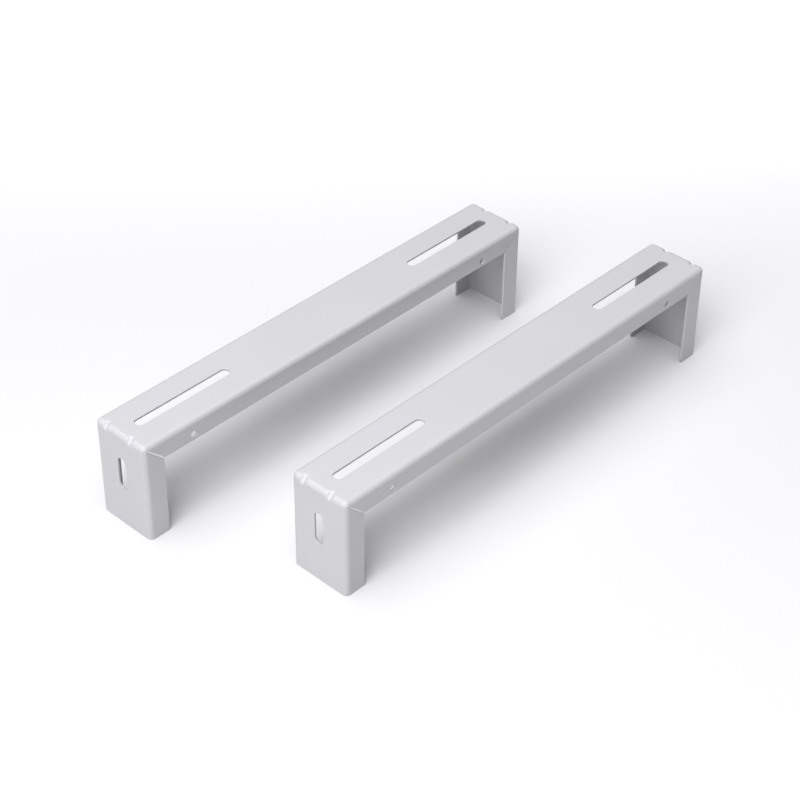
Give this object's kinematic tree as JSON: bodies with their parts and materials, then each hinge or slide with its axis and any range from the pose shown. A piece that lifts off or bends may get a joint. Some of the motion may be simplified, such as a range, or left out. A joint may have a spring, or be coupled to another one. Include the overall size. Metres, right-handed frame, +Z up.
{
  "type": "air conditioner floor stand",
  "caption": "Low pair of folded sheet steel rails with a leg at each end and long slots in the top, to hold an outdoor air conditioning unit off the ground.",
  "frame": {"origin": "centre of the footprint of the pair of rails, on the ground", "axes": "+Y along the rails, +Z up, +X from the left rail to the right rail, which stands further back"},
  "size_m": [0.219, 0.513, 0.095],
  "materials": {
    "white_powder_coat": "satin"
  },
  "bodies": {
    "root": {"left_rail": "white_powder_coat", "right_rail": "white_powder_coat"}
  },
  "joints": []
}
